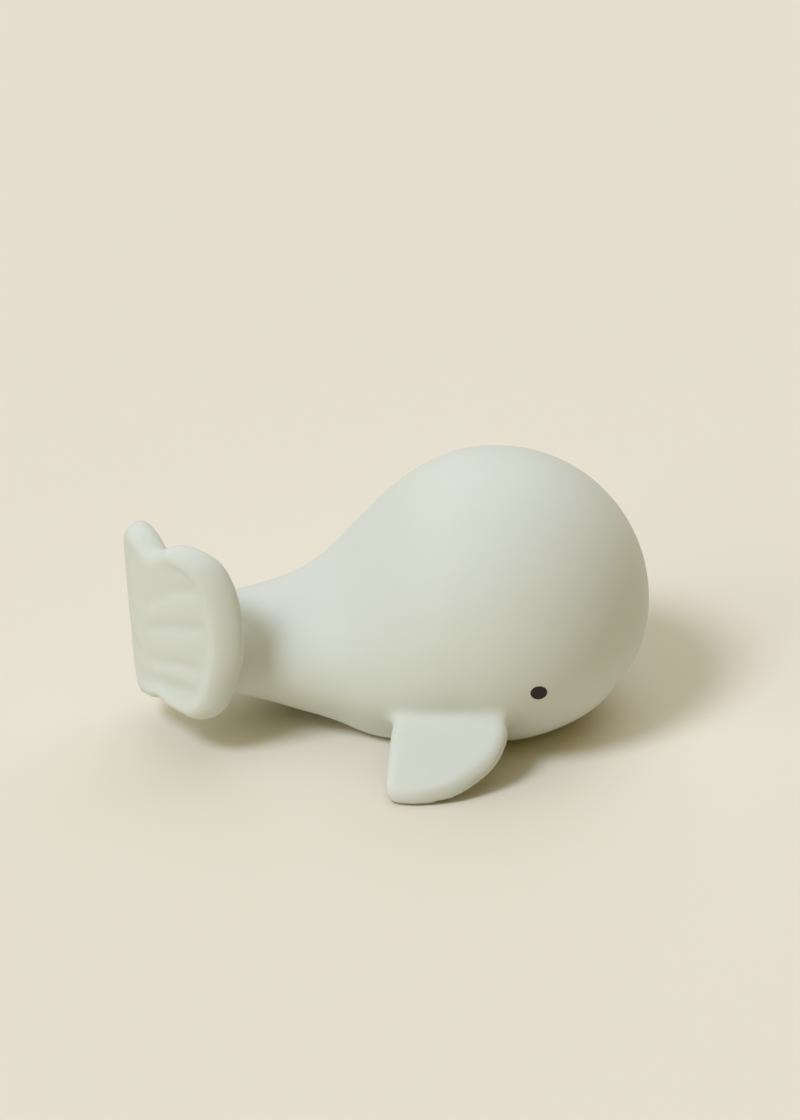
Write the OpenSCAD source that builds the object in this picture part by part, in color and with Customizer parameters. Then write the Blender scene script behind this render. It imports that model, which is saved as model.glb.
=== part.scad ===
// Squeaky bath toy: a hollow rubber whale with a reed squeaker in its belly.
// Millimetres, +X towards the snout, +Z up.
// The origin is on the resting plane, straight under the middle of the head.

/* [Whale] */
// Diameter of the round head
head_d = 68; // [60:1:76]
// Height of the crown above the resting plane
crown_h = 61.8; // [56:0.2:68]
// Reach of the belly's curve below the middle of the head, as a share of the head's radius
belly_share = 0.935; // [0.88:0.005:1]
// Length of the spine from the middle of the head to the flukes
tail_l = 76.5; // [68:0.5:82]
// How far the tail swings to the whale's right, in degrees
tail_swing = 42; // [0:0.5:56]
// Thickness of the rubber wall
wall = 3; // [2:0.1:4]

/* [Flukes] */
// Span of the flukes from side to side
fluke_span = 40.2; // [34:0.2:46]
// Height of the flukes
fluke_h = 41.2; // [36:0.2:46]
// Thickness of the flukes
fluke_t = 7.4; // [4.5:0.1:8]
// Height of the middle of the flukes above the resting plane
fluke_mid_h = 28; // [25:0.2:32]
// Lean of the flukes about the spine, in degrees
fluke_lean = 7; // [0:1:8]
// How far the flukes' outer edges curve forwards
fluke_cup = 7; // [0:0.2:8]
// Depth of the grooves between the ribs
groove_depth = 0.7; // [0.2:0.1:1.2]
// Half width of a groove
groove_w = 1.3; // [0.8:0.1:2]

/* [Flippers] */
// Reach of a flipper's tip from the middle of the whale
flipper_reach = 48.5; // [44:0.5:56]
// Width of a flipper from front to back
flipper_w = 26; // [20:0.5:30]
// Thickness of a flipper at its root
flipper_t = 5.6; // [4:0.1:7]
// Height of a flipper's middle above the resting plane where it leaves the body
flipper_root_h = 11.2; // [9:0.2:15]
// Tilt of a flipper's root with its leading edge up, in degrees
flipper_pitch = 11; // [0:1:14]

/* [Eyes] */
// Diameter of an eye
eye_d = 4.1; // [3:0.1:6]
// Thickness of an eye's printed dot with its moulded recess
eye_t = 0.6; // [0.4:0.05:1]
// Angle of an eye from straight ahead, in degrees
eye_turn = 66.3; // [50:0.1:80]
// Angle of an eye below the middle of the head, in degrees
eye_drop = 11.7; // [0:0.1:25]

/* [Squeaker] */
// Distance of the squeaker behind the middle of the head
squeaker_back = 16; // [14:0.5:20]
// Diameter of the housing's barrel
barrel_d = 19; // [18:0.1:20]
// Height of the housing
barrel_h = 13.5; // [13:0.1:15]
// Width of the flange's rim beyond the barrel
flange_rim = 2; // [1.5:0.1:2.5]
// Thickness of the flange and of the housing's floor
flange_t = 1.5; // [1.2:0.1:2]
// Thickness of the barrel's wall
barrel_wall = 1.3; // [1:0.1:1.6]
// Depth of the flange's face above the resting plane
flange_sink = 0.6; // [0.4:0.1:1]
// Height of the bead that holds the barrel behind the rubber collar
bead = 0.7; // [0.5:0.1:1]
// Height of the rubber collar above the flange
collar_h = 8; // [6:0.1:8.5]
// Thickness of the rubber collar
collar_wall = 2.6; // [2:0.1:3.5]
// Diameter of the sound hole
outlet_d = 1.8; // [1.4:0.1:2]
// Thickness of the cap
cap_t = 1.6; // [1.2:0.1:2]
// Number of air holes in the cap
cap_holes = 6; // [4:1:8]
// Diameter of an air hole
cap_hole_d = 1.6; // [1.2:0.1:1.8]
// Width of the ledge that the cap rests on
ledge = 0.5; // [0.4:0.1:0.8]

/* [Reed] */
// Diameter of the reed's two bars together
cartridge_d = 7; // [6.6:0.1:7.4]
// Thickness of the reed
reed_t = 0.25; // [0.2:0.05:0.35]
// Width of the reed
reed_w = 4.2; // [3.6:0.1:4.6]
// Length of the reed's free tongue
tongue_l = 5.6; // [5:0.1:6]
// Opening of the tongue at rest, in degrees
reed_open = 3; // [2:0.5:4]
// Height of the clamp on the reed's root
clamp_h = 3; // [2.5:0.1:3.4]
// Depth of the sound channel
channel_depth = 2; // [1.8:0.1:2.2]
// Width of the sound channel
channel_w = 2.2; // [1.8:0.1:2.4]
// Thickness of the rings that hold the bars
hub_wall = 1.2; // [1:0.1:1.4]
// Depth that the rings take of the bars
hub_depth = 1.4; // [1:0.1:2]

/* [Fits] */
// Clearance between rubber and plastic
soft_fit = 0.2; // [0.1:0.05:0.3]
// Clearance between plastic pieces
hard_fit = 0.1; // [0.05:0.05:0.15]

/* [Hidden] */
$fn = 64;
overrun = 1;
head_r = head_d / 2;
head_z = crown_h - head_r;

// Points round a section, rings on the snout and rings for each gap between stations
round_n = 44;
snout_n = 9;
snout_first_share = 0.3;
station_n = 2;
step_n = 48;

// Stations from the middle of the head to the flukes. Along: share of the spine.
// Top, bottom and half width: shares of the head's radius, from the head's middle height.
// The row before the middle mirrors the one behind it, so that the curves run level there.
station_shares = [
    [-0.114, 0.968, -0.945, 0.982],
    [0, 1, -belly_share, 1],
    [0.114, 0.968, -0.945, 0.982],
    [0.208, 0.872, -0.965, 0.932],
    [0.29, 0.733, -0.97, 0.864],
    [0.358, 0.567, -0.956, 0.789],
    [0.415, 0.413, -0.918, 0.724],
    [0.473, 0.262, -0.864, 0.655],
    [0.538, 0.147, -0.805, 0.592],
    [0.604, 0.084, -0.752, 0.539],
    [0.697, 0.052, -0.673, 0.474],
    [0.785, 0.06, -0.598, 0.421],
    [0.89, 0.085, -0.515, 0.385],
    [1, 0.12, -0.46, 0.36]
];
station_last = len(station_shares) - 2;
// Height of the widest part between bottom and top
waist_share = 0.482;
// Power of the belly's fuller curve
belly_power = 1.94;
// How late the swing sets in along the spine
swing_power = 1.4;
// Share of the spine that the hollow reaches along
hollow_share = 0.86;

// Half outline of the flukes from the lower notch to the upper one, shares of half span and half height
fluke_shares = [
    [0, -0.86], [0.2, -0.93], [0.36, -0.955], [0.56, -0.985], [0.755, -0.855], [0.885, -0.555],
    [0.97, -0.265], [1, 0.05], [0.985, 0.35], [0.93, 0.635], [0.825, 0.85], [0.67, 0.957], [0.49, 1],
    [0.3, 0.985], [0.13, 0.905], [0, 0.82]
];
fluke_last = len(fluke_shares) - 1;
fluke_n = 3;
// Grooved field of the flukes: rings, reach as a share of the outline, share of the thickness
field_n = 10;
field_share = 0.73;
field_t_share = 0.88;
// Rim round the field and front of the flukes: inset of the outline, share of the thickness
rim_shares = [
    [0.78, 0.91], [0.82, 0.965], [0.86, 1], [0.925, 0.935], [0.965, 0.82], [0.99, 0.67], [1, 0.5],
    [0.985, 0.27], [0.94, 0.09], [0.86, 0.01], [0.5, 0]
];
// Grooves of one lobe: start where the lobes part, rise, sag and end, as shares of half height and half span
groove_shares = [
    [0.17, 0.57, 0, 0.72], [-0.06, 0.38, 0.18, 0.97], [-0.4, 0.3, 0.22, 0.87], [-0.65, 0.26, 0.27, 0.79]
];
// Line where the grooves part, and depth of the left lobe's grooves
groove_mid_share = -0.15;
groove_left_share = 0.3;
// Way over which a groove starts and ends, as a share of the half span
groove_fade_share = 0.14;
// Share of the flukes' thickness in front of the spine's end
fluke_front_share = 0.4;

// Stations of a flipper: share of the way out, trailing and leading edge as shares of the width
// from the root's middle, height and thickness as shares of those at the root
flipper_shares = [
    [-0.45, -0.49, 0.5, 1.12, 1.12],
    [0, -0.49, 0.51, 1, 1.06],
    [0.25, -0.485, 0.53, 0.815, 1],
    [0.5, -0.475, 0.465, 0.6, 0.94],
    [0.7, -0.47, 0.315, 0.415, 0.88],
    [0.85, -0.46, 0.15, 0.285, 0.8],
    [0.94, -0.435, -0.03, 0.21, 0.68],
    [0.985, -0.38, -0.17, 0.17, 0.46],
    [1, -0.31, -0.26, 0.16, 0.22]
];
flipper_last = len(flipper_shares) - 1;
// Points round a flipper, and rings for each gap between its stations
flipper_n = 20;
flipper_step_n = 2;
// Middle of a flipper's root behind the middle of the head, as a share of the head's radius
flipper_back_share = 0.2;
// Place of a flipper's root beside the middle, as a share of the head's radius
flipper_side_share = 0.86;

// Squeaker heights and diameters, worked out from the sizes above
floor_z = flange_sink + flange_t;
barrel_top = flange_sink + barrel_h;
flange_d = barrel_d + 2 * flange_rim;
chamber_d = barrel_d - 2 * barrel_wall;
cap_bottom = barrel_top - cap_t;
cap_d = chamber_d - 2 * hard_fit;
collar_d = barrel_d + 2 * (soft_fit + collar_wall);
collar_top = floor_z + collar_h;
bead_bottom = collar_top + soft_fit;
bead_d = barrel_d + 2 * (soft_fit + bead);
reed_plane = channel_depth / 2 + reed_t / 2;
bars_top = cap_bottom - hard_fit;
clamp_bottom = bars_top - clamp_h;
tongue_bottom = clamp_bottom - tongue_l;
channel_top = clamp_bottom - channel_w / 4;
channel_bottom = tongue_bottom + channel_w / 4;
hub_d = cartridge_d + 2 * (hard_fit + hub_wall);
hub_bore = cartridge_d + 2 * hard_fit;
air_circle_r = chamber_d / 2 - ledge - cap_hole_d / 2 - 2 * hard_fit;

// Piece to draw

// Smooth curve through the rows of a table
function row(tab, i) = tab[max(0, min(len(tab) - 1, i))];
function along(tab, u) =
    let (i = min(floor(u), len(tab) - 2), t = u - i)
    let (a = row(tab, i - 1), b = row(tab, i), c = row(tab, i + 1), d = row(tab, i + 2))
    b + (c - a) * t / 2 + (a - 2.5 * b + 2 * c - d / 2) * t * t
    + (1.5 * (b - c) + (d - a) / 2) * t * t * t;

// Spine seen from above
function turn(s) = tail_swing * pow(s, swing_power);
function heading(s) = [-cos(turn(s)), -sin(turn(s))];
spine = [
    for (i = 0, p = [0, 0]; i <= step_n; p = p + heading((i + 0.5) / step_n) * tail_l / step_n, i = i + 1) p
];
function spine_at(s) =
    let (u = s * step_n, i = min(floor(u), step_n - 1))
    spine[i] + (spine[i + 1] - spine[i]) * (u - i);

// Section of the body: a round upper half and a fuller lower half
function bend(v, power) = sign(v) * pow(abs(v), 2 / power);
function section(p, angle, top, bottom, half, mid) = [
    for (k = [0 : round_n - 1])
    let (q = 360 * k / round_n, low = sin(q) < 0)
    let (side = half * bend(cos(q), low ? belly_power : 2))
    let (rise = (low ? mid - bottom : top - mid) * bend(sin(q), low ? belly_power : 2))
    [p[0] - side * sin(angle), p[1] + side * cos(angle), mid + rise]
];
function snout_ring(q, inset) =
    let (r = head_r - inset, low = min(head_r * belly_share - inset, (inset > 0) ? head_z - inset : head_r))
    section([r * cos(q), 0], 0, head_z + r * sin(q), head_z - low * sin(q), r * sin(q), head_z);
function tail_ring(u, inset) =
    let (v = along(station_shares, u), top = head_z + head_r * v[1] - inset)
    let (low = head_z + head_r * v[2] + inset, bottom = (inset > 0) ? max(low, inset) : low)
    let (mid = low + (top - low) * waist_share)
    section(spine_at(v[0]), turn(v[0]), top, bottom, head_r * v[3] - inset, mid);
function body_rings(inset, reach) = concat(
    [for (k = [snout_first_share, each [1 : snout_n - 1]]) snout_ring(90 * k / snout_n, inset)],
    [for (k = [0 : floor(station_last * station_n * reach)]) tail_ring(1 + k / station_n, inset)]
);

// Closed skin over a list of rings
module skin(rings) {
    n = len(rings[0]);
    last = len(rings) - 1;
    first_mid = [for (k = [0 : 2]) [for (p = rings[0]) p[k]] * [for (p = rings[0]) 1 / n]];
    last_mid = [for (k = [0 : 2]) [for (p = rings[last]) p[k]] * [for (p = rings[last]) 1 / n]];
    points = concat([for (r = rings) each r], [first_mid, last_mid]);
    sides = [
        for (i = [0 : last - 1], k = [0 : n - 1])
        let (a = i * n + k, b = i * n + (k + 1) % n)
        each [[a, b, b + n], [a, b + n, a + n]]
    ];
    first_cap = [for (k = [0 : n - 1]) [(last + 1) * n, (k + 1) % n, k]];
    last_cap = [for (k = [0 : n - 1]) [(last + 1) * n + 1, last * n + k, last * n + (k + 1) % n]];
    polyhedron(points, concat(sides, first_cap, last_cap));
}

function fluke_outline() = concat(
    [for (k = [0 : fluke_last * fluke_n]) along(fluke_shares, k / fluke_n)],
    [for (k = [fluke_last * fluke_n - 1 : -1 : 1]) let (p = along(fluke_shares, k / fluke_n)) [-p[0], p[1]]]
);
function ease(v) = let (t = max(0, min(1, v))) t * t * (3 - 2 * t);
function groove(x, y) =
    let (out = abs(x - groove_mid_share))
    ((x < groove_mid_share) ? groove_left_share : 1) * max([
        for (g = groove_shares)
        let (off = (y - g[0] - g[1] * out + g[2] * out * out) * fluke_h / 2 / groove_w)
        ease(out / groove_fade_share) * ease((g[3] - out) / groove_fade_share) * exp(-off * off)
    ]);

module flukes() {
    rim = fluke_outline();
    field = [
        for (k = [1 : field_n]) [
            for (p = rim)
            let (x = field_share * k / field_n * p[0], y = field_share * k / field_n * p[1])
            let (z = (field_t_share - fluke_front_share) * fluke_t - groove_depth * groove(x, y))
            [x * fluke_span / 2, y * fluke_h / 2, z - fluke_cup * x * x]
        ]
    ];
    edge = [
        for (v = rim_shares) [
            for (p = rim)
            let (x = v[0] * p[0], y = v[0] * p[1], z = (v[1] - fluke_front_share) * fluke_t)
            [x * fluke_span / 2, y * fluke_h / 2, z - fluke_cup * x * x]
        ]
    ];
    tip = spine_at(1);
    translate([tip[0], tip[1], fluke_mid_h])
    rotate([0, 0, tail_swing - 90])
    rotate([90, -fluke_lean, 0])
    skin(concat(field, edge));
}

module flipper() {
    out = flipper_reach - head_r * flipper_side_share;
    rings = [
        for (i = [0 : flipper_last * flipper_step_n])
        let (v = along(flipper_shares, i / flipper_step_n)) [
            for (k = [0 : flipper_n - 1])
            let (q = 360 * (k + 0.5) / flipper_n, half = (v[2] - v[1]) / 2 * flipper_w)
            let (edge = min(v[4] * flipper_t / 2, half))
            let (x = (v[1] + v[2]) / 2 * flipper_w + sign(cos(q)) * (half - edge) + edge * cos(q))
            [
                x - head_r * flipper_back_share,
                head_r * flipper_side_share + v[0] * out,
                v[3] * flipper_root_h + edge * sin(q) + x * tan(flipper_pitch) * (1 - v[0])
            ]
        ]
    ];
    skin(rings);
}

module at_eye(side) {
    translate([0, 0, head_z])
    rotate([0, 0, side * eye_turn])
    rotate([0, 90 + eye_drop, 0])
    children();
}

module at_squeaker() {
    translate([-squeaker_back, 0, 0])
    children();
}

module tube(d, bottom, top) {
    translate([0, 0, bottom])
    cylinder(d = d, h = top - bottom);
}

module body_shell() {
    color([0.8, 0.81, 0.75])
    difference() {
        union() {
            difference() {
                union() {
                    skin(body_rings(0, 1));
                    flukes();
                    flipper();
                    mirror([0, 1, 0])
                    flipper();
                }
                skin(body_rings(wall, hollow_share));
            }
            at_squeaker()
            tube(collar_d, wall / 2, collar_top);
        }
        at_squeaker() {
            tube(barrel_d + 2 * soft_fit, -overrun, collar_top + overrun);
            tube(flange_d + 2 * soft_fit, -overrun - wall, floor_z);
        }
        for (side = [-1, 1])
        at_eye(side)
        tube(eye_d, head_r - eye_t, head_r + overrun);
        translate([-head_d * 2, -head_d * 2, -head_d])
        cube([head_d * 4, head_d * 4, head_d]);
    }
}

module eye(side) {
    color([0.16, 0.15, 0.13])
    at_eye(side)
    tube(eye_d, head_r - eye_t, head_r);
}

module squeaker_housing() {
    color([0.93, 0.93, 0.9])
    at_squeaker()
    difference() {
        union() {
            tube(flange_d, flange_sink, floor_z);
            tube(barrel_d, flange_sink, barrel_top);
            translate([0, 0, bead_bottom])
            cylinder(d1 = bead_d, d2 = barrel_d, h = bead + soft_fit);
        }
        difference() {
            tube(chamber_d - 2 * ledge, floor_z, cap_bottom + overrun);
            translate([reed_plane, 0, 0])
            difference() {
                tube(hub_d, floor_z - overrun, floor_z + hub_depth);
                tube(hub_bore, floor_z - 2 * overrun, floor_z + hub_depth + overrun);
            }
        }
        tube(chamber_d, cap_bottom, barrel_top + overrun);
        tube(outlet_d, flange_sink - overrun, floor_z + overrun);
    }
}

module squeaker_cap() {
    color([0.86, 0.86, 0.83])
    at_squeaker()
    difference() {
        union() {
            tube(cap_d, cap_bottom, barrel_top);
            translate([reed_plane, 0, 0])
            tube(hub_d, cap_bottom - hub_depth, cap_bottom + cap_t / 2);
        }
        translate([reed_plane, 0, 0])
        tube(hub_bore, cap_bottom - hub_depth - overrun, cap_bottom);
        for (k = [0 : cap_holes - 1])
        rotate([0, 0, 360 * (k + 0.5) / cap_holes])
        translate([air_circle_r, 0, 0])
        tube(cap_hole_d, cap_bottom - overrun, barrel_top + overrun);
    }
}

// One of the two half-round bars on either side of the reed
module half_bar(side, bottom) {
    translate([reed_plane, 0, 0])
    intersection() {
        tube(cartridge_d, bottom, bars_top);
        translate([(side > 0) ? reed_t / 2 : -cartridge_d, -cartridge_d, bottom])
        cube([cartridge_d - ((side > 0) ? 0 : reed_t / 2), 2 * cartridge_d, bars_top - bottom]);
    }
}

module reed_base() {
    color([0.9, 0.88, 0.8])
    at_squeaker()
    difference() {
        half_bar(-1, floor_z);
        translate([-channel_depth / 2, -channel_w / 2, channel_bottom])
        cube([channel_depth + overrun, channel_w, channel_top - channel_bottom]);
        tube(outlet_d, floor_z - overrun, channel_bottom + overrun);
    }
}

module reed_clamp() {
    color([0.78, 0.76, 0.7])
    at_squeaker()
    half_bar(1, clamp_bottom);
}

module reed() {
    swing = tongue_l * tan(reed_open);
    color([0.75, 0.6, 0.3])
    at_squeaker()
    translate([reed_plane - reed_t / 2, 0, 0])
    rotate([90, 0, 0])
    linear_extrude(height = reed_w, center = true)
    polygon([
        [0, bars_top], [0, clamp_bottom], [swing, tongue_bottom],
        [swing + reed_t, tongue_bottom], [reed_t, clamp_bottom], [reed_t, bars_top]
    ]);
}

body_shell();
eye(1);  // eye_left
eye(-1);  // eye_right
squeaker_housing();
squeaker_cap();
reed_base();
reed_clamp();
reed();
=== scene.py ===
import math

import bmesh
import bpy
import numpy as np
from mathutils import Matrix, Vector
from mathutils.bvhtree import BVHTree


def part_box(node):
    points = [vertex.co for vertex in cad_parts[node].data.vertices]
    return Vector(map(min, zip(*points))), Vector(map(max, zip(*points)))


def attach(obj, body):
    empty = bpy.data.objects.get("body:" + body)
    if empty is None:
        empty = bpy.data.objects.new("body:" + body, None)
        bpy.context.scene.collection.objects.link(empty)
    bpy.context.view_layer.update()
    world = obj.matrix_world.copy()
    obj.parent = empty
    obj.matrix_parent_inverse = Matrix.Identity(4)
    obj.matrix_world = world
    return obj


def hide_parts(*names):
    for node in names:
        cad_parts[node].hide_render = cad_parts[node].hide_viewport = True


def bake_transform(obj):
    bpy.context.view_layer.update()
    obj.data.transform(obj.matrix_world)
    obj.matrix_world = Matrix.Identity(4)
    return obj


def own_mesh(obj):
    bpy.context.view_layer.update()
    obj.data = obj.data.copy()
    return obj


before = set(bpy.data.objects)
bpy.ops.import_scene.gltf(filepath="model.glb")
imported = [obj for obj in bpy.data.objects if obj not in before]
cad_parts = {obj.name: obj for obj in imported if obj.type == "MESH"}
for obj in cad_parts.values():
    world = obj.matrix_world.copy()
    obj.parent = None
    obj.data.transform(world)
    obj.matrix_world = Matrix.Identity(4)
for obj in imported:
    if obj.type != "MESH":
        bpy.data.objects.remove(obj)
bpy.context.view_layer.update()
scene = bpy.context.scene
scene.view_settings.view_transform = "Standard"
mm = 0.001
sharpAngle = 50.0   # degrees between two faces from which their edge stays crisp
print("frame loaded with", len(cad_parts), "nodes")


# camera: a long lens, a little in front of square on to the whale's right side
cameraSet = {
    "azimuth": 8.0,          # degrees from square on, towards the snout
    "elevation": 28.0,       # degrees above the floor
    "distance": 2.0,         # metres
    "clip": (0.1, 50),       # metres
    "frame": (800, 1120),    # picture in pixels
    "headAt": (497, 597),    # pixel of the head's middle
    "pixel": 0.2237 * mm,    # size of a pixel at the head
    "sensor": 36.0,
}


def makeCamera(c, aim):
    a, e = math.radians(c["azimuth"]), math.radians(c["elevation"])
    back = Vector((math.sin(a) * math.cos(e), -math.cos(a) * math.cos(e), math.sin(e)))
    right = Vector((math.cos(a), math.sin(a), 0))
    up = back.cross(right)
    stepRight = (c["frame"][0] / 2 - c["headAt"][0]) * c["pixel"]
    stepUp = (c["headAt"][1] - c["frame"][1] / 2) * c["pixel"]
    target = aim + right * stepRight + up * stepUp
    data = bpy.data.cameras.new("camera")
    data.sensor_width = c["sensor"]
    data.lens = c["sensor"] * c["distance"] / (c["frame"][1] * c["pixel"])
    data.clip_start, data.clip_end = c["clip"]
    cam = bpy.data.objects.new("camera", data)
    cam.location = target + back * c["distance"]
    cam.rotation_mode = "QUATERNION"
    cam.rotation_quaternion = (-back).to_track_quat("-Z", "Y")
    scene.collection.objects.link(cam)
    scene.camera = cam
    return back, right


# curves through rows of shares
def rowAt(rows, u):
    last = len(rows) - 1
    i = min(int(math.floor(u)), last - 1)
    t = u - i
    b, c = rows[i], rows[i + 1]
    a = rows[i - 1] if i > 0 else 2 * b - c
    d = rows[i + 2] if i + 2 <= last else 2 * c - b
    square = a - 2.5 * b + 2 * c - d / 2
    cube = 1.5 * (b - c) + (d - a) / 2
    return b + (c - a) * t / 2 + square * t ** 2 + cube * t ** 3


def bend(v, power):
    return np.sign(v) * np.abs(v) ** (2 / power)


def ease(v, low, high):
    t = np.clip((v - low) / (high - low), 0, 1)
    return t * t * (3 - 2 * t)


# meshes
def meshFromRings(name, rings):
    count, n = len(rings), len(rings[0])
    points = [tuple(p) for ring in rings for p in ring]
    faces = [
        (i * n + k, i * n + (k + 1) % n, (i + 1) * n + (k + 1) % n, (i + 1) * n + k)
        for i in range(count - 1) for k in range(n)
    ]
    faces.append(tuple(reversed(range(n))))
    faces.append(tuple((count - 1) * n + k for k in range(n)))
    mesh = bpy.data.meshes.new(name)
    mesh.from_pydata(points, [], faces)
    bm = bmesh.new()
    bm.from_mesh(mesh)
    bmesh.ops.recalc_face_normals(bm, faces=bm.faces)
    bm.to_mesh(mesh)
    bm.free()
    return mesh


def meshFromProfile(name, profile, steps=96):
    # turns (radius, height) points round Z and closes both ends
    angles = np.linspace(0, 2 * math.pi, steps, endpoint=False)
    x, y = np.cos(angles), np.sin(angles)
    rings = [np.column_stack([r * x, r * y, np.full(steps, z)]) for r, z in profile]
    return meshFromRings(name, rings)


def objectOf(name, mesh):
    obj = bpy.data.objects.new(name, mesh)
    scene.collection.objects.link(obj)
    return obj


def shadeSmooth(obj):
    obj.data.polygons.foreach_set("use_smooth", [True] * len(obj.data.polygons))
    obj.data.set_sharp_from_angle(angle=math.radians(sharpAngle))


def applyModifiers(obj):
    bpy.context.view_layer.update()
    graph = bpy.context.evaluated_depsgraph_get()
    mesh = bpy.data.meshes.new_from_object(obj.evaluated_get(graph))
    old = obj.data
    obj.modifiers.clear()
    obj.data = mesh
    bpy.data.meshes.remove(old)


def cutOrJoin(obj, tool, operation):
    mod = obj.modifiers.new("shape", "BOOLEAN")
    mod.operation = operation
    mod.solver = "MANIFOLD"
    mod.object = tool
    applyModifiers(obj)
    bpy.data.objects.remove(tool)


def flatBelow(mesh):
    # cuts the mesh along the floor and closes it there
    bm = bmesh.new()
    bm.from_mesh(mesh)
    geom = bm.verts[:] + bm.edges[:] + bm.faces[:]
    cut = bmesh.ops.bisect_plane(bm, geom=geom, plane_co=(0, 0, 0), plane_no=(0, 0, 1), clear_inner=True)
    edges = [g for g in cut["geom_cut"] if isinstance(g, bmesh.types.BMEdge)]
    bmesh.ops.contextual_create(bm, geom=edges)
    bmesh.ops.recalc_face_normals(bm, faces=bm.faces)
    bm.to_mesh(mesh)
    bm.free()


# whale: round head that runs into a swung tail
whale = {
    "headRadius": 34 * mm,
    "crown": 61.8 * mm,
    "bellyShare": 0.845,            # reach of the belly below the head's middle
    "tailLength": 76.5 * mm,
    "tailSwing": 42.0,              # degrees
    "swingPower": 1.4,
    "tailFrom": 0.42,               # share of the spine where the flat-bellied body starts to turn
    "tailFull": 0.62,               # into the tail, and where it has done so
    "waistShares": (0.455, 0.482),  # height of the widest place on the body and on the tail
    "sidePowers": (2.15, 1.94),     # how square the lower half is at its sides
    "underPowers": (2.6, 1.94),     # and where it turns under
    "underRange": (0.5, 0.95),      # sines of the angle down over which the first becomes the second
    "snoutStart": 0.15,             # the snout's first ring, in ring steps from its tip
    "snoutRange": (0.1, 0.7),       # shares of the radius ahead over which the snout's sections round off
    "wall": 3 * mm,
    "hollowShare": 0.86,            # share of the stations that the hollow runs through
    "around": 144,
    "snoutRings": 40,
    "ringsPerStation": 8,
    "profileSteps": 200,
    "voxel": 0.66 * mm,
    "softPasses": 5,
}
headMiddle = whale["crown"] - whale["headRadius"]
# share of the spine, then top, bottom and half width as shares of the head's radius
stationShares = np.array([
    (0, 1, -whale["bellyShare"], 1),
    (0.114, 0.968, -0.855, 0.982),
    (0.208, 0.872, -0.89, 0.932),
    (0.29, 0.733, -0.9, 0.864),
    (0.358, 0.567, -0.893, 0.789),
    (0.415, 0.413, -0.86, 0.724),
    (0.473, 0.262, -0.815, 0.655),
    (0.538, 0.147, -0.784, 0.592),
    (0.604, 0.084, -0.752, 0.539),
    (0.697, 0.052, -0.673, 0.474),
    (0.785, 0.06, -0.598, 0.421),
    (0.89, 0.085, -0.515, 0.385),
    (1, 0.12, -0.46, 0.36),
])


def turnAt(s):
    return math.radians(whale["tailSwing"]) * max(s, 0) ** whale["swingPower"]


def spineAt(s, steps=240):
    mids = (np.arange(steps) + 0.5) / steps * s
    turns = math.radians(whale["tailSwing"]) * mids ** whale["swingPower"]
    step = whale["tailLength"] * s / steps
    return Vector((-np.cos(turns).sum() * step, -np.sin(turns).sum() * step, 0))


def lowerCurve(q, toTail):
    # out and down shares of a section's lower half at the angle q below its widest place
    side, under = (a + (b - a) * toTail for a, b in (whale["sidePowers"], whale["underPowers"]))
    power = side + (under - side) * ease(np.sin(q), *whale["underRange"])
    return bend(np.cos(q), power), bend(np.sin(q), power)


def bodySection(place, turn, top, bottom, half, mid, toTail):
    q = np.linspace(0, 2 * math.pi, whale["around"], endpoint=False)
    below = np.sin(q) < 0
    out, down = lowerCurve(np.where(below, -q, 0), toTail)
    side = half * np.where(below, out, np.cos(q))
    rise = np.where(below, (bottom - mid) * down, (top - mid) * np.sin(q))
    x = place.x - side * math.sin(turn)
    y = place.y + side * math.cos(turn)
    return np.column_stack([x, y, mid + rise])


def bodyRings(inset, reach):
    r = whale["headRadius"]
    inside = inset > 0
    rings = []
    profileOut, profileDown = lowerCurve(np.linspace(math.pi / 2, 0, whale["profileSteps"]), 0)
    deepest = min(r * whale["bellyShare"] - inset, headMiddle - inset if inside else r)
    for k in range(whale["snoutRings"]):
        q = math.pi / 2 * (k + whale["snoutStart"]) / whale["snoutRings"]
        depth = deepest * np.interp(math.cos(q), profileOut, profileDown)
        half = (r - inset) * math.sin(q)
        place = Vector(((r - inset) * math.cos(q), 0, 0))
        toSnout = ease(math.cos(q), *whale["snoutRange"])
        top, bottom = headMiddle + half, headMiddle - depth
        rings.append(bodySection(place, 0, top, bottom, half, headMiddle, toSnout))
    first = stationShares[1] * (-1, 1, 1, 1)
    rows = np.vstack([first, stationShares])
    count = int((len(stationShares) - 1) * whale["ringsPerStation"] * reach)
    waist, tailWaist = whale["waistShares"]
    for k in range(count + 1):
        along, top, bottom, half = rowAt(rows, 1 + k / whale["ringsPerStation"])
        along = max(along, 0)
        toTail = ease(along, whale["tailFrom"], whale["tailFull"])
        top = headMiddle + r * top - inset
        low = headMiddle + r * bottom + inset
        bottom = max(low, inset) if inside else low
        mid = low + (top - low) * (waist + (tailWaist - waist) * toTail)
        half = r * half - inset
        rings.append(bodySection(spineAt(along), turnAt(along), top, bottom, half, mid, toTail))
    return rings


# flukes: a cupped plate with a round rim and soft grooves that run out from its middle line
flukes = {
    "span": 40.2 * mm,
    "height": 41.2 * mm,
    "thick": 7.4 * mm,
    "midHeight": 28 * mm,
    "lean": 7.0,              # degrees about the spine
    "cup": 7 * mm,
    "frontShare": 0.4,        # thickness in front of the spine's end
    "grooveDepth": 0.55 * mm,
    "grooveWidth": 1.6 * mm,
    "grooveFade": 0.14,       # share of the half span over which a groove starts and ends
    "grooveMiddle": -0.22,    # where the grooves part, as a share of the half span
    "leftDepth": 0.6,         # depth of the left lobe's grooves, as a share
    "leftFill": 0.7,          # how far the left lobe's field comes up to its rim
    "leftRange": (0.1, 0.5),  # shares of the half span over which it comes up
    "crestRow": 6,            # row of the rim's crest below
    "rimSteps": 8,
    "ringSteps": 6,
}
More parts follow.
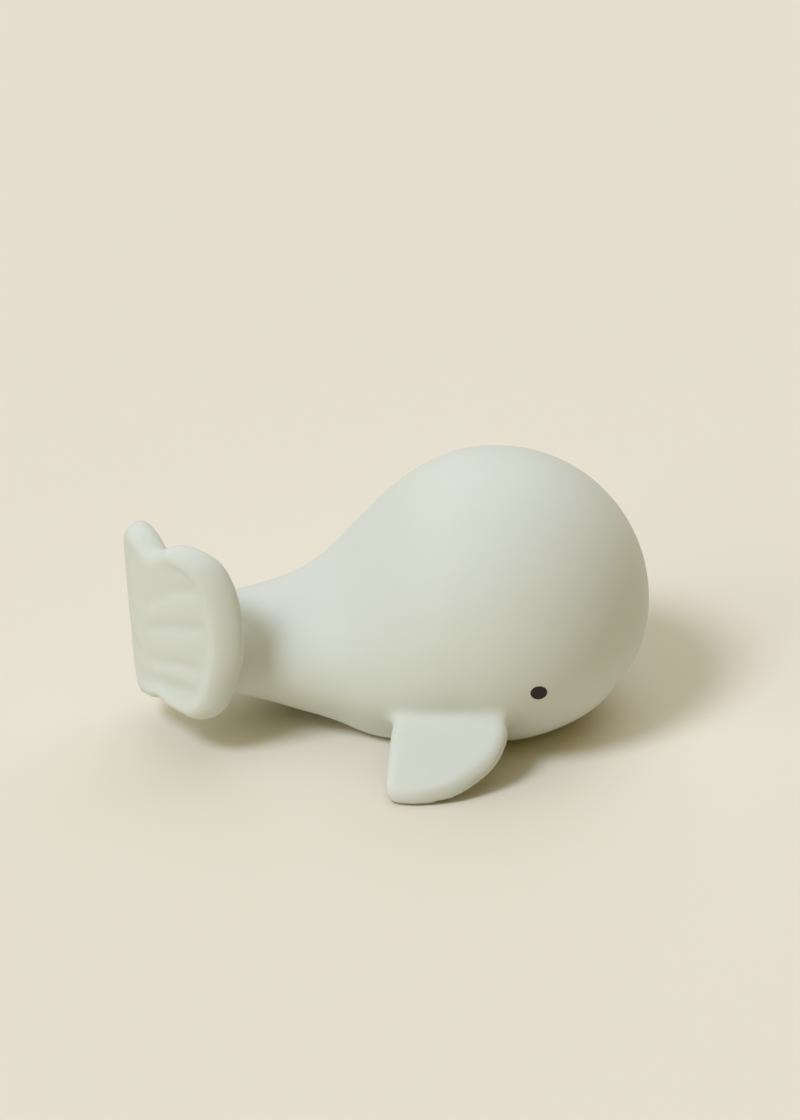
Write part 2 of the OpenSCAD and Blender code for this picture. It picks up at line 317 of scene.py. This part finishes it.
# half outline from the lower notch to the upper one, shares of half span and half height
flukeShares = np.array([
    (0, -0.86), (0.2, -0.93), (0.36, -0.955), (0.56, -0.985),
    (0.755, -0.855), (0.885, -0.555), (0.97, -0.265), (1, 0.05),
    (0.985, 0.35), (0.93, 0.635), (0.825, 0.85), (0.67, 0.957),
    (0.49, 1), (0.3, 0.985), (0.13, 0.905), (0, 0.82),
])
# from the grooved field over the rim to the front:
# inset of the outline, share of the thickness, share of the grooves
flukeRingShares = np.array([
    (0.06, 0.88, 1), (0.3, 0.88, 1), (0.56, 0.88, 1), (0.76, 0.885, 1),
    (0.805, 0.91, 0.6), (0.84, 0.965, 0), (0.875, 1, 0), (0.93, 0.935, 0),
    (0.965, 0.82, 0), (0.99, 0.67, 0), (1, 0.5, 0), (0.985, 0.27, 0),
    (0.94, 0.09, 0), (0.86, 0.01, 0), (0.5, 0, 0),
])
# grooves of one side: start on the middle line, rise, sag and end, shares of half height and half span
grooveShares = (
    (0.13, 0.88, 0.45, 0.98), (-0.09, 0.38, 0.16, 1.04),
    (-0.465, 0.3, 0.19, 0.94), (-0.7, 0.26, 0.24, 0.86),
)


def grooveAt(x, y):
    f = flukes
    out = np.abs(x - f["grooveMiddle"])
    depth = np.zeros(len(x))
    for start, rise, sag, end in grooveShares:
        off = (y - (start + rise * out - sag * out ** 2)) * f["height"] / 2
        fade = ease(out, 0, f["grooveFade"]) * (1 - ease(out, end - f["grooveFade"], end))
        depth = np.maximum(depth, fade * np.exp(-(off / f["grooveWidth"]) ** 2))
    return depth * np.where(x < f["grooveMiddle"], f["leftDepth"], 1)


def flukePlace():
    tip = spineAt(1)
    return (
        Matrix.Translation((tip.x, tip.y, flukes["midHeight"]))
        @ Matrix.Rotation(math.radians(whale["tailSwing"] - 90), 4, "Z")
        @ Matrix.Rotation(math.radians(-flukes["lean"]), 4, "Y")
        @ Matrix.Rotation(math.pi / 2, 4, "X")
    )


def flukeMesh():
    f = flukes
    rimCount = (len(flukeShares) - 1) * f["rimSteps"] + 1
    half = np.array([rowAt(flukeShares, k / f["rimSteps"]) for k in range(rimCount)])
    rim = np.vstack([half, half[-2:0:-1] * (-1, 1)])
    rings = []
    for k in range((len(flukeRingShares) - 1) * f["ringSteps"] + 1):
        inset, level, share = rowAt(flukeRingShares, k / f["ringSteps"])
        x, y = inset * rim[:, 0], inset * rim[:, 1]
        if k < f["crestRow"] * f["ringSteps"]:
            level = level + (1 - level) * f["leftFill"] * ease(-x, *f["leftRange"])
        grooves = max(share, 0) * f["grooveDepth"] * grooveAt(x, y)
        z = (level - f["frontShare"]) * f["thick"] - f["cup"] * x * x - grooves
        rings.append(np.column_stack([x * f["span"] / 2, y * f["height"] / 2, z]))
    mesh = meshFromRings("flukes", rings)
    mesh.transform(flukePlace())
    return mesh


# flippers: flat round-edged paddles that slope down to the floor
flippers = {
    "reach": 48.5 * mm,
    "width": 26 * mm,
    "thick": 5.6 * mm,
    "rootHeight": 11.2 * mm,
    "pitch": 11.0,            # degrees, leading edge up at the root and level at the tip
    "backShare": 0.2,         # the middle's place behind the head's, in head radii
    "sideShare": 0.86,        # the root's place beside the head's middle, in head radii
    "around": 72,
    "ringSteps": 8,
}
# share of the way out, trailing and leading edge in widths, height and thickness as shares of the root's
flipperShares = np.array([
    (-0.45, -0.49, 0.5, 1.12, 1.12), (0, -0.49, 0.51, 1, 1.06), (0.25, -0.485, 0.53, 0.815, 1),
    (0.5, -0.475, 0.465, 0.6, 0.94), (0.7, -0.47, 0.315, 0.415, 0.88), (0.85, -0.46, 0.15, 0.285, 0.8),
    (0.94, -0.435, -0.03, 0.21, 0.68), (0.985, -0.38, -0.17, 0.17, 0.46), (1, -0.31, -0.26, 0.16, 0.22),
])


def flipperMesh(side):
    f = flippers
    r = whale["headRadius"]
    root = r * f["sideShare"]
    q = np.linspace(0, 2 * math.pi, f["around"], endpoint=False)
    rings = []
    for k in range((len(flipperShares) - 1) * f["ringSteps"] + 1):
        out, back, front, height, thick = rowAt(flipperShares, k / f["ringSteps"])
        half = (front - back) / 2 * f["width"]
        edge = min(thick * f["thick"] / 2, half)
        x = (back + front) / 2 * f["width"] + np.sign(np.cos(q)) * (half - edge) + edge * np.cos(q)
        y = np.full(len(q), root + out * (f["reach"] - root)) * side
        tilt = x * math.tan(math.radians(f["pitch"])) * (1 - out)
        z = height * f["rootHeight"] + edge * np.sin(q) + tilt
        rings.append(np.column_stack([x - r * f["backShare"], y, z]))
    return meshFromRings("flipper", rings)


# squeaker socket in the belly
socket = {
    "back": 16 * mm,
    "boreRadius": 9.7 * mm,
    "recessRadius": 11.7 * mm,
    "recessTop": 2.42 * mm,   # 0.32 mm over the flange, which is what the squeeze takes off
    "collarRadius": 12.3 * mm,
    "collarTop": 10.1 * mm,
    "lip": 0.5 * mm,          # rounding of the recess's mouth and the collar's top
    "lipSteps": 7,
}


def socketMeshes():
    s = socket
    lip = s["lip"]
    turn = np.linspace(0, math.pi / 2, s["lipSteps"])
    top = [
        (s["collarRadius"] - lip + lip * math.cos(t), s["collarTop"] - lip + lip * math.sin(t))
        for t in turn
    ]
    collar = meshFromProfile("collar", [(s["collarRadius"], whale["wall"] / 2)] + top)
    mouth = [(s["recessRadius"] + lip - lip * math.sin(t), lip - lip * math.cos(t)) for t in turn]
    bore = meshFromProfile("bore", [(s["recessRadius"] + lip, -lip)] + mouth + [
        (s["recessRadius"], s["recessTop"]), (s["boreRadius"], s["recessTop"]),
        (s["boreRadius"], s["collarTop"] + lip),
    ])
    for mesh in (collar, bore):
        mesh.transform(Matrix.Translation((-s["back"], 0, 0)))
    return collar, bore


# eyes: oval dark dots set flush into the head
eyes = {
    "diameter": 4.1 * mm,
    "narrow": 0.86,            # short axis as a share of the long one
    "longAxis": (0.62, 0.78),  # share down and share sideways of the long axis
    "depth": 0.6 * mm,
    "turn": 66.3,              # degrees from straight ahead
    "drop": 11.7,              # degrees below the head's middle
    "proud": 0.06 * mm,
    "edge": 0.12 * mm,
    "poleShare": 0.02,         # smallest ring of the dot, as a share of its radius
    "pocketTop": 2 * mm,       # how far the pocket's cutter stands out of the head
    "edgeSteps": 5,
    "faceSteps": 14,
    "around": 64,
}


def eyePlace(side):
    return (
        Matrix.Translation((0, 0, headMiddle))
        @ Matrix.Rotation(math.radians(side * eyes["turn"]), 4, "Z")
        @ Matrix.Rotation(math.radians(90 + eyes["drop"]), 4, "Y")
    )


def dotProfile():
    # a soft edge, and the head's own curve on the face
    e = eyes
    r, head, edge = e["diameter"] / 2, whale["headRadius"], e["edge"]
    pole, bottom = r * e["poleShare"], head - e["depth"]
    rim = math.sqrt(head ** 2 - r ** 2) + e["proud"]
    arc = [
        (r - edge + edge * math.cos(t), rim - edge + edge * math.sin(t))
        for t in np.linspace(0, math.pi / 2, e["edgeSteps"])
    ]
    radii = np.linspace(r - edge, pole, e["faceSteps"])
    face = [(x, math.sqrt(head ** 2 - x ** 2) + e["proud"]) for x in radii]
    return [(pole, bottom), (r, bottom)] + arc + face[1:]


def pocketProfile():
    r, head = eyes["diameter"] / 2, whale["headRadius"]
    return [(r, head - eyes["depth"]), (r, head + eyes["pocketTop"])]


def eyeMesh(side, profile):
    mesh = meshFromProfile("eye", profile, eyes["around"])
    down, sideways = eyes["longAxis"]
    shortAxis = Vector((-sideways * side, -down, 0)).normalized()
    mesh.transform(eyePlace(side) @ Matrix.Scale(eyes["narrow"], 4, shortAxis))
    return mesh


# reed: a thin tongue whose root stays in the clamp while its free end swings
reedStrip = {
    "tipRound": 0.8 * mm,
    "thick": 0.25 * mm,
    "open": 3.0,              # degrees that the tongue stands off its bar at rest
    "bendLength": 1.8 * mm,   # stretch below the clamp that takes up the bend
    "steps": 36,
    "tipSteps": 8,
}


def reedMesh(box, clampEdge):
    r = reedStrip
    (root, _, tip), (_, side, top) = box
    turn = np.linspace(0, math.pi / 2, r["tipSteps"])
    straight = np.linspace(top, tip + r["tipRound"], r["steps"], endpoint=False)
    heights = np.concatenate([straight, tip + r["tipRound"] * (1 - np.sin(turn))])
    halves = np.concatenate([np.full(r["steps"], side), side - r["tipRound"] * (1 - np.cos(turn))])
    rings = []
    for z, half in zip(heights, halves):
        x = root + max(clampEdge - z, 0) * math.tan(math.radians(r["open"]))
        out = x + r["thick"]
        rings.append(np.array([(x, -half, z), (out, -half, z), (out, half, z), (x, half, z)]))
    return meshFromRings("reed", rings)


# fillets: soft roots where flippers and flukes meet the body, and a saddle between the lobes
fillets = {
    "flipperReach": 4.0 * mm,
    "flukeReach": 5.0 * mm,
    "flipperPasses": 60,
    "flukePasses": 90,
    "notchReach": 10 * mm,    # the saddle's reach beside the flukes' middle
    "notchFrom": 5 * mm,      # heights above it where the saddle starts and is full
    "notchFull": 13 * mm,
    "notchPasses": 100,
    "fullFrom": 0.6,          # share of the way to the joint from which smoothing is full
    "leastWeight": 0.01,
    "strength": 0.5,
}


def treeOf(mesh):
    bm = bmesh.new()
    bm.from_mesh(mesh)
    tree = BVHTree.FromBMesh(bm)
    bm.free()
    return tree


def joinWeights(points, treeA, treeB, reach, box):
    # 1 near the line where two forms meet, 0 a reach away
    low, high = box[0] - reach, box[1] + reach
    weights = np.zeros(len(points))
    near = np.nonzero(np.all((points > low) & (points < high), axis=1))[0]
    for i in near:
        p = Vector(points[i])
        b = treeB.find_nearest(p, reach)
        if b[0] is None:
            continue
        a = treeA.find_nearest(p, reach)
        if a[0] is None:
            continue
        weights[i] = 1 - max(a[3], b[3]) / reach
    return ease(weights, 0, fillets["fullFrom"])


def pointsOf(mesh):
    co = np.empty(len(mesh.vertices) * 3)
    mesh.vertices.foreach_get("co", co)
    return co.reshape(-1, 3)


def smoothBy(obj, weights, passes):
    group = obj.vertex_groups.new(name="soft")
    for i in np.nonzero(weights > fillets["leastWeight"])[0]:
        group.add([int(i)], float(weights[i]), "REPLACE")
    mod = obj.modifiers.new("soft", "SMOOTH")
    mod.factor = fillets["strength"]
    mod.iterations = passes
    mod.vertex_group = group.name
    applyModifiers(obj)
    obj.vertex_groups.clear()


def joinForms(forms):
    bm = bmesh.new()
    for m in forms:
        bm.from_mesh(m)
    joined = bpy.data.meshes.new("rubberSkin")
    bm.to_mesh(joined)
    bm.free()
    skin = objectOf("rubberSkin", joined)
    mod = skin.modifiers.new("one skin", "REMESH")
    mod.mode = "VOXEL"
    mod.voxel_size = whale["voxel"]
    applyModifiers(skin)
    return skin


def softenRoots(skin, forms):
    f = fillets
    bodyTree, flukeTree, *flipperTrees = [treeOf(m) for m in forms]
    flukeBox, *flipperBoxes = [(pointsOf(m).min(0), pointsOf(m).max(0)) for m in forms[1:]]
    co = pointsOf(skin.data)
    home = np.array(flukePlace().inverted())
    local = co @ home[:3, :3].T + home[:3, 3]
    grooved = local[:, 2] > 0
    atFlukes = joinWeights(co, bodyTree, flukeTree, f["flukeReach"], flukeBox)
    atFlukes[grooved] = 0
    beside = ease(-np.abs(local[:, 0]), -f["notchReach"], 0)
    above = ease(local[:, 1], f["notchFrom"], f["notchFull"])
    notch = grooved * beside * above
    notch[np.linalg.norm(local, axis=1) > flukes["height"]] = 0
    smoothBy(skin, atFlukes, f["flukePasses"])
    smoothBy(skin, notch, f["notchPasses"])
    co = pointsOf(skin.data)
    atFlippers = np.zeros(len(co))
    for tree, box in zip(flipperTrees, flipperBoxes):
        atOne = joinWeights(co, bodyTree, tree, f["flipperReach"], box)
        atFlippers = np.maximum(atFlippers, atOne)
    smoothBy(skin, atFlippers, f["flipperPasses"])
    smoothBy(skin, np.ones(len(co)), whale["softPasses"])


def makeSkin():
    bodyMesh = meshFromRings("body", bodyRings(0, 1))
    flatBelow(bodyMesh)
    forms = [bodyMesh, flukeMesh(), flipperMesh(1), flipperMesh(-1)]
    skin = joinForms(forms)
    print("skin joined:", len(skin.data.vertices), "points")
    softenRoots(skin, forms)
    print("roots softened")

    hollow = meshFromRings("hollow", bodyRings(whale["wall"], whale["hollowShare"]))
    cutOrJoin(skin, objectOf("hollow", hollow), "DIFFERENCE")
    collar, bore = socketMeshes()
    cutOrJoin(skin, objectOf("collar", collar), "UNION")
    cutOrJoin(skin, objectOf("bore", bore), "DIFFERENCE")
    for side in (1, -1):
        cutOrJoin(skin, objectOf("pocket", eyeMesh(side, pocketProfile())), "DIFFERENCE")
    shadeSmooth(skin)
    print("skin hollowed:", len(skin.data.polygons), "faces")
    return skin


# node groups
def newGroup(name, inputs, outputs):
    group = bpy.data.node_groups.new(name, "ShaderNodeTree")
    for title, kind, value in inputs:
        sock = group.interface.new_socket(title, in_out="INPUT", socket_type=kind)
        sock.default_value = value
    for title, kind in outputs:
        group.interface.new_socket(title, in_out="OUTPUT", socket_type=kind)
    return group, group.nodes.new("NodeGroupInput"), group.nodes.new("NodeGroupOutput")


def makeGrainGroup():
    # colour clouding, fine grain and roughness that vary over a moulded surface
    group, inn, out = newGroup("mouldedGrain", [
        ("Colour", "NodeSocketColor", (0.8, 0.8, 0.8, 1)),
        ("Cloud Colour", "NodeSocketColor", (0.7, 0.7, 0.7, 1)),
        ("Cloud Scale", "NodeSocketFloat", 60.0),
        ("Cloud Amount", "NodeSocketFloat", 0.2),
        ("Grain Scale", "NodeSocketFloat", 1600.0),
        ("Roughness", "NodeSocketFloat", 0.6),
        ("Roughness Spread", "NodeSocketFloat", 0.1),
    ], [("Colour", "NodeSocketColor"), ("Roughness", "NodeSocketFloat"), ("Height", "NodeSocketFloat")])
    nodes, links = group.nodes, group.links
    coord = nodes.new("ShaderNodeTexCoord")

    def noise(scaleSocket, detail):
        n = nodes.new("ShaderNodeTexNoise")
        n.inputs["Detail"].default_value = detail
        links.new(coord.outputs["Object"], n.inputs["Vector"])
        links.new(scaleSocket, n.inputs["Scale"])
        return n

    cloud = noise(inn.outputs["Cloud Scale"], detail=3.0)
    grain = noise(inn.outputs["Grain Scale"], detail=4.0)
    noiseMiddle = 0.5
    amount = nodes.new("ShaderNodeMath")
    amount.operation = "MULTIPLY"
    links.new(cloud.outputs["Fac"], amount.inputs[0])
    links.new(inn.outputs["Cloud Amount"], amount.inputs[1])
    mix = nodes.new("ShaderNodeMix")
    mix.data_type = "RGBA"
    links.new(amount.outputs[0], mix.inputs["Factor"])
    links.new(inn.outputs["Colour"], mix.inputs["A"])
    links.new(inn.outputs["Cloud Colour"], mix.inputs["B"])
    links.new(mix.outputs["Result"], out.inputs["Colour"])
    centred = nodes.new("ShaderNodeMath")
    centred.operation = "SUBTRACT"
    links.new(grain.outputs["Fac"], centred.inputs[0])
    centred.inputs[1].default_value = noiseMiddle
    rough = nodes.new("ShaderNodeMath")
    rough.operation = "MULTIPLY_ADD"
    links.new(centred.outputs[0], rough.inputs[0])
    links.new(inn.outputs["Roughness Spread"], rough.inputs[1])
    links.new(inn.outputs["Roughness"], rough.inputs[2])
    links.new(rough.outputs[0], out.inputs["Roughness"])
    links.new(grain.outputs["Fac"], out.inputs["Height"])
    return group


finishes = {
    "softRubber": {
        "colour": (0.685, 0.715, 0.65), "cloud": (0.65, 0.68, 0.61),
        "cloudScale": 70.0, "cloudAmount": 0.5, "grainScale": 1700.0,
        "roughness": 0.72, "spread": 0.18, "bump": 0.05, "bumpDepth": 0.03 * mm,
        "sockets": {
            "Specular IOR Level": 0.3, "Subsurface Weight": 0.12,
            "Subsurface Radius": (0.0025, 0.002, 0.0013), "Subsurface Scale": 1.0,
            "Sheen Weight": 0.05, "Sheen Roughness": 0.6,
        },
    },
    "eyePrint": {
        "colour": (0.022, 0.02, 0.016), "cloud": (0.034, 0.031, 0.026),
        "cloudScale": 500.0, "cloudAmount": 0.5, "grainScale": 3200.0,
        "roughness": 0.72, "spread": 0.2, "bump": 0.08, "bumpDepth": 0.02 * mm,
        "sockets": {"Specular IOR Level": 0.3},
    },
    "squeakerPlastic": {
        "colour": (0.83, 0.83, 0.79), "cloud": (0.76, 0.75, 0.69),
        "cloudScale": 140.0, "cloudAmount": 0.5, "grainScale": 2600.0,
        "roughness": 0.42, "spread": 0.14, "bump": 0.06, "bumpDepth": 0.02 * mm,
        "sockets": {
            "Subsurface Weight": 0.1, "Subsurface Radius": (0.001, 0.001, 0.0008), "Subsurface Scale": 1.0,
        },
    },
    "reedBar": {
        "colour": (0.76, 0.73, 0.62), "cloud": (0.68, 0.64, 0.52),
        "cloudScale": 240.0, "cloudAmount": 0.5, "grainScale": 3000.0,
        "roughness": 0.5, "spread": 0.16, "bump": 0.06, "bumpDepth": 0.02 * mm,
        "sockets": {},
    },
    "reedFilm": {
        "colour": (0.62, 0.5, 0.26), "cloud": (0.52, 0.4, 0.18),
        "cloudScale": 400.0, "cloudAmount": 0.6, "grainScale": 4200.0,
        "roughness": 0.28, "spread": 0.12, "bump": 0.04, "bumpDepth": 0.01 * mm,
        "sockets": {"Coat Weight": 0.3},
    },
}


def makeFinish(name, grainGroup):
    f = finishes[name]
    mat = bpy.data.materials.new(name)
    mat.use_nodes = True
    nodes, links = mat.node_tree.nodes, mat.node_tree.links
    shader = nodes["Principled BSDF"]
    grain = nodes.new("ShaderNodeGroup")
    grain.node_tree = grainGroup
    grain.inputs["Colour"].default_value = (*f["colour"], 1)
    grain.inputs["Cloud Colour"].default_value = (*f["cloud"], 1)
    grain.inputs["Cloud Scale"].default_value = f["cloudScale"]
    grain.inputs["Cloud Amount"].default_value = f["cloudAmount"]
    grain.inputs["Grain Scale"].default_value = f["grainScale"]
    grain.inputs["Roughness"].default_value = f["roughness"]
    grain.inputs["Roughness Spread"].default_value = f["spread"]
    links.new(grain.outputs["Colour"], shader.inputs["Base Color"])
    links.new(grain.outputs["Roughness"], shader.inputs["Roughness"])
    bump = nodes.new("ShaderNodeBump")
    bump.inputs["Strength"].default_value = f["bump"]
    bump.inputs["Distance"].default_value = f["bumpDepth"]
    links.new(grain.outputs["Height"], bump.inputs["Height"])
    links.new(bump.outputs["Normal"], shader.inputs["Normal"])
    for socketName, value in f["sockets"].items():
        shader.inputs[socketName].default_value = value
    return mat


def dress(obj, mat):
    obj.data.materials.clear()
    obj.data.materials.append(mat)


# studio: seamless cream floor, a cool window at the front left with a wider light below it,
# soft light from behind and above, warm fill
studio = {
    "floorColour": (0.80, 0.75, 0.64),
    "floorRoughness": 0.95,
    "floorShine": 0.1,
    "floorSize": 30.0,
    "floorDrop": 0.05 * mm,   # keeps the floor clear of the belly's flat face
    # degrees to the left of the camera's heading, degrees above the floor, degrees across, level
    "lights": {
        "window": (50, 53, 18, (0.42, 0.457, 0.57)),
        "windowLow": (52, 28, 34, (0.145, 0.15, 0.135)),
        "behind": (195, 44, 60, (0.28, 0.296, 0.34)),
        "above": (0, 89, 60, (0.14, 0.147, 0.167)),
    },
    "fill": (0.254, 0.20, 0.055),
    "backdrop": (0.82, 0.77, 0.65),
}


def makeFloor():
    s = studio
    half = s["floorSize"] / 2
    corners = [(-half, -half, 0), (half, -half, 0), (half, half, 0), (-half, half, 0)]
    mesh = bpy.data.meshes.new("floor")
    mesh.from_pydata(corners, [], [(0, 1, 2, 3)])
    floor = objectOf("floor", mesh)
    floor.location.z = -s["floorDrop"]
    mat = bpy.data.materials.new("floorPaper")
    mat.use_nodes = True
    shader = mat.node_tree.nodes["Principled BSDF"]
    shader.inputs["Base Color"].default_value = (*s["floorColour"], 1)
    shader.inputs["Roughness"].default_value = s["floorRoughness"]
    shader.inputs["Specular IOR Level"].default_value = s["floorShine"]
    dress(floor, mat)


def makeLights(back, right):
    flat = Vector((back.x, back.y, 0)).normalized()
    for name, (azimuth, elevation, across, level) in studio["lights"].items():
        a, e = math.radians(azimuth), math.radians(elevation)
        toLight = (flat * math.cos(a) - right * math.sin(a)) * math.cos(e) + Vector((0, 0, math.sin(e)))
        peak = max(level)
        light = bpy.data.lights.new(name, "SUN")
        light.angle = math.radians(across)
        light.color = tuple(v / peak for v in level)
        light.energy = math.pi * peak
        lamp = bpy.data.objects.new(name, light)
        lamp.rotation_mode = "QUATERNION"
        lamp.rotation_quaternion = toLight.to_track_quat("Z", "Y")
        scene.collection.objects.link(lamp)


def makeRoom():
    # the camera sees the backdrop, and everything else is lit by the fill
    world = bpy.data.worlds.new("room")
    world.use_nodes = True
    nodes, links = world.node_tree.nodes, world.node_tree.links
    nodes.clear()
    fill = nodes.new("ShaderNodeBackground")
    wall = nodes.new("ShaderNodeBackground")
    fill.inputs["Color"].default_value = (*studio["fill"], 1)
    wall.inputs["Color"].default_value = (*studio["backdrop"], 1)
    path = nodes.new("ShaderNodeLightPath")
    mix = nodes.new("ShaderNodeMixShader")
    out = nodes.new("ShaderNodeOutputWorld")
    links.new(path.outputs["Is Camera Ray"], mix.inputs["Fac"])
    links.new(fill.outputs[0], mix.inputs[1])
    links.new(wall.outputs[0], mix.inputs[2])
    links.new(mix.outputs[0], out.inputs["Surface"])
    scene.world = world


back, right = makeCamera(cameraSet, Vector((0, 0, headMiddle)))
makeFloor()
makeLights(back, right)
makeRoom()
print("camera and studio set")

grainGroup = makeGrainGroup()
materials = {name: makeFinish(name, grainGroup) for name in finishes}

skin = makeSkin()
dress(skin, materials["softRubber"])
dots = {}
for label, side in (("Left", 1), ("Right", -1)):
    dot = objectOf("eyeDot" + label, eyeMesh(side, dotProfile()))
    shadeSmooth(dot)
    dress(dot, materials["eyePrint"])
    dots[label] = dot

for node, finish in (
    ("squeaker_housing", "squeakerPlastic"), ("squeaker_cap", "squeakerPlastic"),
    ("reed_base", "reedBar"), ("reed_clamp", "reedBar"),
):
    dress(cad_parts[node], materials[finish])
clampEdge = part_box("reed_clamp")[0][2]
tongue = objectOf("reedTongue", reedMesh(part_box("reed"), clampEdge))
dress(tongue, materials["reedFilm"])
print("pieces dressed")

# the skin and the eye dots hang on the whale's body in place of their frame parts
for piece, node, slotName in (
    (skin, "body_shell", "rubber_skin"),
    (dots["Left"], "eye_left", "eye_print"),
    (dots["Right"], "eye_right", "eye_print"),
):
    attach(piece, "whale")
    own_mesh(piece)
    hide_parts(node)

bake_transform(tongue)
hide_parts("reed")
